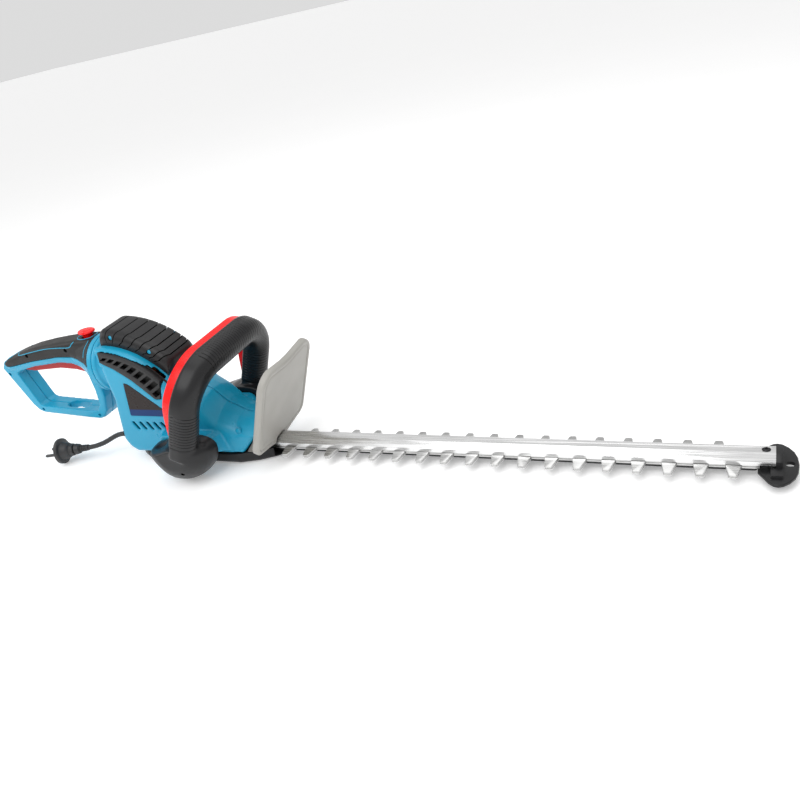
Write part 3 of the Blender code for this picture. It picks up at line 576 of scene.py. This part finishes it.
def make_lead():
    """The flex, its sleeve and its plug."""
    points = smooth_route(CORD_ROUTE, 30)
    flex = round_line("flex", [point * MM for point in points], CORD_R, 5)
    shown(flex, "body", "cord", "cord_rubber", "mains_cord")

    out = Vector(CORD_ROUTE[0]) - Vector(GLAND_START)
    reach = out.length - 0.3
    profile = [(-6, 4.4), (4.6, 4.4), (4.6, 6.2), (5.0, 7.0), (7.6, 7.0), (8.0, 6.6)]
    place = 8.0
    while place < reach - 1.6:
        width = 6.3 - 1.9 * (place - 8.0) / (reach - 8.0)
        profile += [(place, width), (place + 0.9, width), (place + 1.0, width - 0.9),
                    (place + 1.7, width - 0.9)]
        place += 1.8
    profile += [(place, 4.5), (reach - 0.3, 4.5), (reach, 4.2)]
    gland = along_line("cable_sleeve", GLAND_START, out, profile)
    shown(smooth(gland, 40), "body", "rubber", "cord_rubber", "cable_gland")

    heading = Vector(CORD_ROUTE[-1]) - Vector(CORD_ROUTE[-2])
    heading.z = 0
    heading.normalize()
    begin = Vector(CORD_ROUTE[-1]) + heading * 0.3
    profile = [(0, 4.1), (0.3, 4.5)]
    for k in range(4):
        a = 1.2 + 2.9 * k
        profile += [(a, 4.6 + 0.15 * k), (a + 1.7, 4.7 + 0.15 * k), (a + 1.9, 4.0), (a + 2.7, 4.0)]
    profile += [(12.9, 5.2), (13.9, 5.3), (14.2, 6.9), (14.6, 7.3), (20.4, 8.2), (20.9, 7.9), (21.1, 5.9),
                (23.0, 5.9), (23.3, 7.6)]
    nut = [(23.4, hexagonal(7.9)), (29.0, hexagonal(8.6)), (29.4, hexagonal(8.2))]
    profile += nut + [(29.6, 8.4), (31.0, 10.6), (34.0, 12.2), (40.6, 13.4), (41.2, 14.0), (41.5, 18.5),
                      (41.9, 19.1), (45.6, 19.1), (46.6, 18.7), (47.0, 18.0)]
    plug = along_line("plug_moulding", begin, heading, profile, 36)
    shown(smooth(plug, 35), "body", "rubber", "cord_rubber", "plug_body")
    side = heading.cross(Vector((0, 0, 1)))
    for sign, tag in ((-1, "1"), (1, "2")):
        base = begin + heading * 47.3 + side * (9.5 * sign)
        profile = [(0, 2.6), (0.9, 2.6), (1.0, 2.35), (17.0, 2.35), (18.2, 1.9), (18.9, 1.2)]
        pin = along_line(f"plug_prong_{tag}", base, heading, profile, 20)
        shown(smooth(pin, 35), "body", "pin", "pin_metal", f"plug_pin_{tag}")


# ------------------------------------------------------------------ front handle


def bail_places(first, spacing):
    """Places along the bail's middle line, evenly spaced: (y, along, outward way, distance)."""
    corner_y = BAIL_HALF - BAIL_CORNER
    corner_v = BAIL_TOP - BAIL_CORNER
    straight = corner_v - first
    bend = BAIL_CORNER * math.pi / 2
    total = 2 * straight + 2 * bend + 2 * corner_y
    result = []
    for distance in spacing(total):
        s = min(distance, total - distance)
        if s <= straight:
            y, v, out = -BAIL_HALF, first + s, (-1.0, 0.0)
        elif s <= straight + bend:
            turn = math.pi - (s - straight) / BAIL_CORNER
            out = (math.cos(turn), math.sin(turn))
            y, v = -corner_y + BAIL_CORNER * out[0], corner_v + BAIL_CORNER * out[1]
        else:
            y, v, out = -corner_y + (s - straight - bend), BAIL_TOP, (0.0, 1.0)
        if distance > total / 2:
            y, out = -y, (-out[0], out[1])
        result.append((y, v, out, distance))
    return result, total


def bail_section(groove):
    """The D-shaped section: a broad round front, and a slot at the back for the switch bar."""
    front = [(16.8 - groove, 0.0)]
    half = []
    for a in (12, 24, 36, 48, 60, 70, 80, 90):
        ca, sa = math.cos(math.radians(a)), math.sin(math.radians(a))
        half.append((-1 + (17.8 - groove) * ca, (17.8 - groove) * sa))
    side = [(-5, 17.8 - groove), (-9, 17.8 - groove * 0.6), (-12, 17.6), (-13.6, 16.9), (-14.0, 15.9),
            (-13.6, 15.0), *GROOVE_FLOOR[:2]]
    upper = half + side
    lower = [(n, -r) for n, r in upper[::-1]]
    return front + upper + [GROOVE_FLOOR[2]] + lower


def bail_ring(y, along, out, section):
    """The bail's section, stood across its middle line."""
    return [leaning(BAIL_FOOT, y + r * out[0], along + r * out[1], n) for n, r in section]


GROOVE_FLOOR = ((1.5, 14.6), (2.0, 14.0), (2.0, 0.0))
BAIL_BACK = -13.4
RIB_DEPTH = 0.9
RIB_PITCH = 4.5
RIB_WIDTH = (1.5, 2.0, 2.5)
RIB_RANGES = ((2.0, 52.0), (112.0, 340.0))


def rib_spacing(total):
    """Close places where the ribs are, with a narrow groove between each two."""
    result = []
    distance = 0.0
    while distance < total:
        ribbed = any(low <= distance <= high for low, high in RIB_RANGES)
        result += [distance] + [distance + wide for wide in RIB_WIDTH] if ribbed else [distance]
        distance += RIB_PITCH if ribbed else 3.2
    return result + [total]


def make_bail():
    """The black bail, with narrow grooves round it where the hand goes."""
    places, total = bail_places(30.0, rib_spacing)
    spots = rib_spacing(total)
    skins = []
    groove_width = RIB_WIDTH[2] - RIB_WIDTH[0]
    for i, (y, along, out, _) in enumerate(places):
        inner = 0 < i < len(spots) - 1
        bottom = inner and abs(spots[i + 1] - spots[i - 1] - groove_width) < 0.01
        skins.append(bail_ring(y, along, out, bail_section(RIB_DEPTH if bottom else 0.0)))
    bail = smooth(swept("bail_grip", skins), 45)
    shown(bail, "body", "bail", "black_plastic", "front_handle")
    for side, tag in ((-1, "right"), (1, "left")):
        make_foot(side, f"bail_foot_{tag}")


def foot_outline():
    corners = [(-50, 50), (-47, 38), (-40, 24), (-28, 9), (-15, 2), (5, 2), (26, 11), (41, 25),
               (48, 38), (50, 51), (43, 59), (28, 64), (-4, 64), (-22, 57), (-40, 52)]
    return rounded(corners, 9.0, 4)


def make_foot(side, name):
    """The boat-shaped foot of the bail, with a scoop on each side of the leg."""
    outline = foot_outline()
    rings = []
    for y, share in ((60.4, 0.97), (61.2, 1.0), (68, 1.0), (76, 0.985), (83, 0.94), (89, 0.87), (94, 0.79),
                     (98, 0.70), (101, 0.60), (103, 0.47)):
        rings.append([(2 + share * (x - 2), side * y, 58 + share * (z - 58)) for x, z in outline])
    foot = swept(name, rings)
    stub = [(BAIL_HALF * side, a, (side * 1.0, 0.0)) for a in (8, 18, 29.8)]
    section = bail_section(0.0)
    floor = [n for n, _ in GROOVE_FLOOR]
    filled = [(BAIL_BACK, r) if n in floor else (n, r) for n, r in section]
    leg = swept("leg_stub", [bail_ring(y, a, out, filled) for y, a, out in stub])
    join([foot, leg], name)
    modify(foot, "REMESH", mode="VOXEL", voxel_size=1.3 * MM)
    scoops = ((-33, 79, 66, 19, 16, 15), (55, 80, 70, 21, 17, 17))
    for x, y, z, rx, ry, rz in scoops:
        ball = start("scoop", bpy.ops.mesh.primitive_uv_sphere_add, segments=40, ring_count=20,
                     radius=1.0, location=Vector((x, side * y, z)) * MM,
                     scale=Vector((rx, ry, rz)) * MM)
        carve(foot, apply_place(ball))
    softened(foot, 1.2, 10, 0.5)
    for x, y, z, r in ((10, 99, 25, 2.6), (-33, 90, 33, 2.2)):
        drilled(foot, (x, side * y, z), r, 9.0)
    smooth(foot, 50)
    shown(foot, "body", "bail", "black_plastic")


def make_switch_bar():
    """The red bar behind the bail's top, its ends tapering away down the legs."""
    count = 110
    places, _ = bail_places(34.0, lambda total: [total * i / count for i in range(count + 1)])
    rings = []
    for y, along, out, _ in places:
        reach = min(1.0, max(0.0, (along - 34) / 62.0))
        rear = -15.8 - 11.6 * math.sin(reach * math.pi / 2)
        half = [(-8.2, 12.9), (rear + 3.2, 12.9), (rear + 1.1, 12.2), (rear + 0.2, 10.6)]
        section = half + [(rear, 6.0), (rear, 0.0), (rear, -6.0)]
        section += [(n, -r) for n, r in half[::-1]]
        rings.append(bail_ring(y, along, out, section))
    bar = smooth(swept("switch_bar_cap", rings), 40)
    shown(bar, "switch_bar", "red", "red_plastic", "switch_bar")


# ------------------------------------------------------------------ hand guard


def guard_outline():
    """Round top corners with a shallow dip between them, and a narrow foot."""
    half = GUARD_HALF
    outline = arc(half - 24, GUARD_TOP - 24, 24, -8, 82, 10)
    outline += [(24, GUARD_TOP - 2.6), (8, GUARD_TOP - 4.6), (-8, GUARD_TOP - 4.6),
                (-24, GUARD_TOP - 2.6)]
    outline += arc(-half + 24, GUARD_TOP - 24, 24, 98, 188, 10)
    outline += arc(-half + 15, 13, 15, 176, 246, 8)
    outline += [(-30, GUARD_LOW + 4), (-17, GUARD_LOW), (17, GUARD_LOW), (30, GUARD_LOW + 4)]
    outline += arc(half - 15, 13, 15, 294, 364, 8)
    return outline


def make_guard():
    """The upright guard: a raised rim, a groove inside it, and a tunnel for the blade bar."""
    outline = guard_outline()
    layers = [(-0.6, 12.0), (-0.6, 5.4), (-1.2, 4.4), (-6.2, 3.6), (-7.0, 2.9), (-7.0, 1.3), (-6.4, 0.5),
              (-5.4, 0.2), (-0.6, 0.2), (0.7, 0.4), (1.7, 1.1), (2.3, 2.2), (2.5, 3.4), (2.4, 4.6),
              (2.0, 5.6), (1.3, 6.4), (1.0, 7.2), (1.1, 8.0), (1.6, 8.8), (1.8, 9.8), (1.8, 14.0)]
    rings = []
    for forward, shrink in layers:
        rings.append([leaning(GUARD_FOOT, y, v, forward) for y, v in inset(outline, shrink)])
    guard = swept("guard_plate", rings)
    tunnel = [(-14.3, 0), (14.3, 0), (14.3, 22.9), (7.6, 29.4), (-7.6, 29.4), (-14.3, 22.9)]
    tool = swept("tunnel", [[(x, y, z) for y, z in tunnel] for x in (80, 130)])
    carve(guard, tool)
    shown(smooth(guard, 38), "body", "guard", "guard_plastic", "hand_guard")


# ------------------------------------------------------------------ housing


def make_housing(side, tag):
    """One half of the blue body, with the two wells of its screws."""
    shell = merged_copy(f"housing_{tag}", f"body_shell_{tag}")
    softened(shell, 1.25, 12, 0.5)
    shown(shell, "body", "cyan", "cyan_shell", f"housing_{tag}")
    for x, z, low, high in ((66, 52, 31, 35), (-116, 157, 37, 42)):
        peg(f"screw_well_{tag}_{abs(x)}", (x, side * (low + high) / 2, z), 4.1, high - low, 0.4)


def make_grille(side, tag):
    """The side air grille, with a dark plate behind its slots, painted shade for the dim inside of the
    body.
    """
    grille = merged_copy(f"side_grille_{tag}", f"air_grille_{tag}")
    crisp(grille, 0.35, 2)
    shown(grille, "body", "black", "black_plastic", f"side_grille_{tag}")
    # the plate's near-black is painted shade for the inside of the body seen through the slots
    backing = [(x, z) for x, z in arc(*DOME_CENTRE, 122.0, 88, 36, 14)]
    backing += [(-26, 98), (-44, 112), (-60, 124), (-71, 138), (-94, 155), (-111, 164)]
    plate = swept(f"grille_shade_{tag}", [[(x, side * y, z) for x, z in backing]
                                          for y in (36.0, 38.5)])
    shown(plate, "body", "hole", "black_plastic")


def make_label(side, tag):
    """The thin printed film let into the side of the body."""
    outline = rounded([(-88, 131), (-80, 128.5), (-34, 88), (-34, 78.5), (-99, 78.5)], 2.4)
    y = BODY_HALF - 0.9
    rings = [[(x, side * (y + h), z) for x, z in inset(outline, d)]
             for h, d in ((0.0, 0.3), (0.75, 0.3), (0.9, 0.5))]
    film = swept(f"side_film_{tag}", rings)
    shown(smooth(film), "body", "label", "label_film", f"label_{tag}")


def hood_section():
    """The hood across: (y, height over the dome, share of the way up, outward normal)."""
    half = []
    for height in (0.0, 1.6, 3.2, 3.9, 6.0):
        half.append((-HOOD_HALF, height, height / HOOD_RISE, (-1.0, 0.0)))
    for k in range(1, 8):
        turn = math.radians(90 * k / 8)
        ca, sa = math.cos(turn), math.sin(turn)
        half.append((-HOOD_HALF + HOOD_RIM * (1 - ca), HOOD_RISE - HOOD_RIM * (1 - sa),
                     1.0 - 0.4 * ca, (-ca, sa)))
    half += [(y, HOOD_RISE, 1.0, (0.0, 1.0)) for y in (-19.0, -12.0, -6.0)]
    middle = [(0.0, HOOD_RISE, 1.0, (0.0, 1.0))]
    return half + middle + [(-y, h, up, (-ny, nr)) for y, h, up, (ny, nr) in half[::-1]]


def hood_angles():
    """Places along the hood, with four close together at each slot: (angle, in a slot)."""
    places = [(HOOD_ENDS[0] + 0.75 * k, False) for k in range(7)]
    for lower, upper in zip([None] + HOOD_SLOTS[::-1], HOOD_SLOTS[::-1] + [None]):
        if lower is not None and upper is not None:
            places += [(lower + (upper - lower) * share, False) for share in (0.3, 0.5, 0.7)]
        if upper is not None:
            places += [(upper + off, abs(off) < 0.3) for off in (-0.34, -0.28, 0.28, 0.34)]
    return places + [(86.0 + 0.7 * k, False) for k in range(11)]


def make_cover():
    """The slotted hood over the motor: its slots cross its top and slant back down its sides."""
    first, last = HOOD_ENDS
    rings = []
    for angle, sunk in hood_angles():
        nearest = min(angle - first, last - angle)
        share = math.sqrt(max(0.0, 1 - (1 - min(1.0, nearest / 6.0)) ** 2))
        ring = []
        for y, height, up, (ny, nr) in hood_section():
            slant = HOOD_SLANT * (1 - up) * min(1.0, max(0.0, (last - angle) / 9.0))
            slant *= min(1.0, max(0.0, (angle - first) / 5.0))
            turn = angle + slant
            edge = last - 8.4 * (1 - up)
            if turn > last - 15.0:
                turn = last - 15.0 + (turn - last + 15.0) * (edge - last + 15.0) / 15.0
            depth = HOOD_SLOT_DEPTH if sunk and up > 0.17 else 0.0
            lift = max(0.4 if share < 0.01 else 0.0, height) * max(share, 0.03)
            x, z = on_dome(HOOD_FOOT_R + lift - nr * depth, math.radians(turn))
            ring.append((x, y - ny * depth, z))
        for y in (24.0, 12.0, 0.0, -12.0, -24.0):
            x, z = on_dome(HOOD_FLOOR_R, math.radians(min(angle, last - 1.0 - 0.2 * abs(y))))
            ring.append((x, y, z))
        rings.append(ring)
    hood = swept("motor_hood", rings)
    for side in (-1, 1):
        for angle in HOOD_POST_ANGLES:
            x, z = on_dome(HOOD_POST_R, math.radians(angle))
            drilled(hood, (x, side * 31, z), 3.3, 5.0)
            peg(f"hood_post_{int(angle)}_{side + 1}", (x, side * 27.6, z), 3.0, 3.0, 0.5)
    shown(smooth(hood, 38), "body", "black", "black_plastic", "motor_cover")


def make_lower_pieces():
    """The tray under the body, and the gear housing in front of it."""
    base = softened(merged_copy("base_plate", "under_tray"), 1.1, 4, 0.5)
    shown(base, "body", "black", "black_plastic", "base_plate")
    case = softened(merged_copy("gear_case", "gear_housing"), 0.9, 3, 0.6)
    shown(case, "body", "case", "case_metal", "gear_case")


# ------------------------------------------------------------------ rear handle


def make_rear_handle():
    """The loop handle, its soft grip, trigger, swivel ring and lock button."""
    for tag in ("left", "right"):
        shell = softened(merged_copy(f"rear_handle_{tag}", f"handle_shell_{tag}"), 1.0, 5, 0.5)
        side = 1 if tag == "left" else -1
        for x, z in ((-338, 129), (-303, 68), (-192, 60)):
            drilled(shell, (x, side * 17, z), 2.6, 5.0)
        shown(smooth(shell, 50), "rear_handle", "cyan", "cyan_shell", f"rear_handle_{tag}")
    grip = softened(merged_copy("rear_grip", "soft_grip_cap"), 0.9, 5, 0.6)
    make_inlay(grip)
    for side in (-1, 1):
        for x, z in ((-282, 160.5), (-200, 168)):
            drilled(grip, (x, side * 20, z), 3.0, 8.0)
    shown(smooth(grip, 50), "rear_handle", "soft", "soft_grip", "rear_grip")
    trigger = softened(merged_copy("trigger", "trigger_blade"), 0.6, 3, 0.5)
    # the trigger's finish is the red plastic darkened as painted shade
    shown(trigger, "trigger", "trigger", "red_plastic", "trigger")
    collar = softened(merged_copy("swivel_collar", "swivel_ring"), 0.8, 2, 0.6)
    shown(collar, "rear_handle", "cyan", "cyan_shell", "swivel_collar")
    make_button()


def laid_line(grip, name, origins, way):
    """A thin coloured line let into the grip, where rays along a way meet it."""
    placed = []
    for origin in origins:
        hit, place, _, _ = grip.ray_cast(Vector(origin) * MM, Vector(way))
        if hit:
            placed.append(place)
    pick(round_line(name, placed, 0.6, 2))
    bpy.ops.object.convert(target="MESH")
    return shown(bpy.context.object, "rear_handle", "cyan_inlay", "cyan_shell")


def make_inlay(grip):
    """The coloured lines of the grip: along each side, by the collar and round the button."""
    long_way = [(-298.5, 167), (-300.5, 163.5), (-299, 161), (-285, 163.2), (-270.6, 165.8),
                (-240.5, 170.4), (-213.7, 172), (-194, 172.2), (-188, 173.6), (-184, 177), (-180, 180)]
    short_way = [(-151.5, 181), (-154.5, 175), (-156.5, 169), (-157.5, 162)]
    bpy.context.view_layer.update()
    for side in (-1, 1):
        for tag, way in (("long", long_way), ("short", short_way)):
            points = smooth_route([(x, side * 60, z) for x, z in way], 70)
            laid_line(grip, f"grip_inlay_{tag}_{side + 1}", points, (0, -side, 0))
    ring = [(-166.5 + 16.0 * ca, 12.0 * sa, 240) for ca, sa in arc(0, 0, 1, 0, 360, 61)]
    laid_line(grip, "button_inlay", ring, (0, 0, -1))


def make_button():
    """The lock button: a stem under a dished cap."""
    low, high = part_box("release_button")
    x = (low[0] + high[0]) / 2 / MM
    layers = [(159, 7.8, 5.8), (184.2, 7.8, 5.8), (184.8, 8.2, 6.2), (185.7, 9.4, 7.2), (186.6, 10.6, 8.2),
              (187.2, 12.4, 9.6), (187.6, 13.2, 10.3), (188.1, 13.5, 10.5), (189.4, 13.5, 10.5),
              (190.2, 13.1, 10.1), (190.7, 12.2, 9.3), (190.8, 11.0, 8.2), (190.5, 9.6, 7.1),
              (190.5, 8.0, 5.8), (190.9, 7.0, 5.0), (191.2, 5.0, 3.6), (191.3, 2.0, 1.4)]
    rings = []
    for z, a, b in layers:
        rings.append([(x + a * ca, b * sa, z) for ca, sa in arc(0, 0, 1, 0, 350, 36)])
    button = smooth(swept("lock_button", rings), 40)
    shown(button, "release_button", "red", "red_plastic", "release_button")


# ------------------------------------------------------------------ blade


def make_blades():
    """The two cutters, their carrier bar, rail and screws, and the cap on the nose."""
    for tag in ("upper", "lower"):
        blade = crisp(merged_copy(f"{tag}_blade", f"{tag}_cutter"), 0.55, 2, 40)
        shown(blade, f"{tag}_blade", "blade", "blade_steel", f"{tag}_blade")
    bar = crisp(merged_copy("blade_bar", "carrier_bar"), 0.3, 2, 20)
    shown(bar, "body", "bar", "bar_aluminium", "blade_bar")
    rail = crisp(merged_copy("support_rail", "lower_rail"), 0.3, 1)
    shown(rail, "body", "oxide", "black_steel", "support_rail")
    tip = crisp(merged_copy("tip_guard", "nose_cap"), 0.7, 3, 25)
    shown(tip, "body", "black", "black_plastic", "tip_guard")
    for k in range(6):
        name = f"blade_bolt_{k + 1}"
        bolt = crisp(merged_copy(name, f"blade_screw_{k + 1}"), 0.4, 2)
        shown(bolt, "body", "oxide", "black_steel", name)
    screw = crisp(merged_copy("tip_screw", "end_screw"), 0.25, 2)
    drilled(screw, (700, 0, 30.0), 1.7, 1.4, "Z", 6)
    shown(smooth(screw), "body", "oxide", "black_steel", "tip_screw")


INNER = {
    "motor_stator": "copper", "motor_armature": "copper", "motor_fan": "black", "motor_pinion": "steel",
    "motor_bearing_lower": "steel", "motor_bearing_upper": "steel", "brush_holder_left": "brass",
    "brush_holder_right": "brass", "drive_gear": "steel", "cam_shaft": "steel", "gear_bearing": "steel",
    "trigger_pin": "steel", "mains_switch": "black", "bar_switch": "black",
}


# ------------------------------------------------------------------ stage


def make_stage():
    """The white floor, the sky and three lamps."""
    floor = start("floor", bpy.ops.mesh.primitive_plane_add, size=60.0, location=(0.2, 0, -0.0006))
    apply_place(floor)
    paint = Recipe("floor_paint", (0.95, 0.95, 0.95), 0.85)
    paint.set("Specular IOR Level", 0.1)
    paint.set("Emission Color", (1.0, 1.0, 1.0, 1.0)).set("Emission Strength", 0.22)
    paint.tint(paint.spread(paint.noise(3.0), 0.0, 1.0), 0.99, 1.0)
    floor.data.materials.append(paint.material)
    world = bpy.data.worlds.new("studio")
    bpy.context.scene.world = world
    world.use_nodes = True
    background = world.node_tree.nodes["Background"]
    background.inputs["Color"].default_value = (1.0, 1.0, 1.0, 1.0)
    background.inputs["Strength"].default_value = 0.72
    bpy.context.scene.view_settings.view_transform = "Standard"
    lamps = [
        ("key_light", (0.1, -1.2, 1.7), (0.1, 0, 0.05), 1.4, 17.0),
        ("top_light", (0.3, 0.5, 1.9), (0.15, 0, 0.05), 1.6, 10.0),
        ("side_light", (-1.5, -0.5, 0.9), (-0.1, 0, 0.1), 0.9, 5.0),
    ]
    for name, place, target, size, power in lamps:
        light = bpy.data.lights.new(name, "AREA")
        light.size = size
        light.energy = power
        obj = bpy.data.objects.new(name, light)
        obj.location = place
        obj.rotation_euler = (Vector(target) - Vector(place)).to_track_quat("-Z", "Y").to_euler()
        bpy.context.scene.collection.objects.link(obj)


def main():
    make_camera()
    make_lead()
    make_bail()
    make_switch_bar()
    make_guard()
    for side, tag in ((-1, "right"), (1, "left")):
        make_housing(side, tag)
        make_grille(side, tag)
        make_label(side, tag)
    make_cover()
    make_lower_pieces()
    make_rear_handle()
    make_blades()
    for name, key in INNER.items():
        coat(nodes[name], key)
    make_stage()


main()
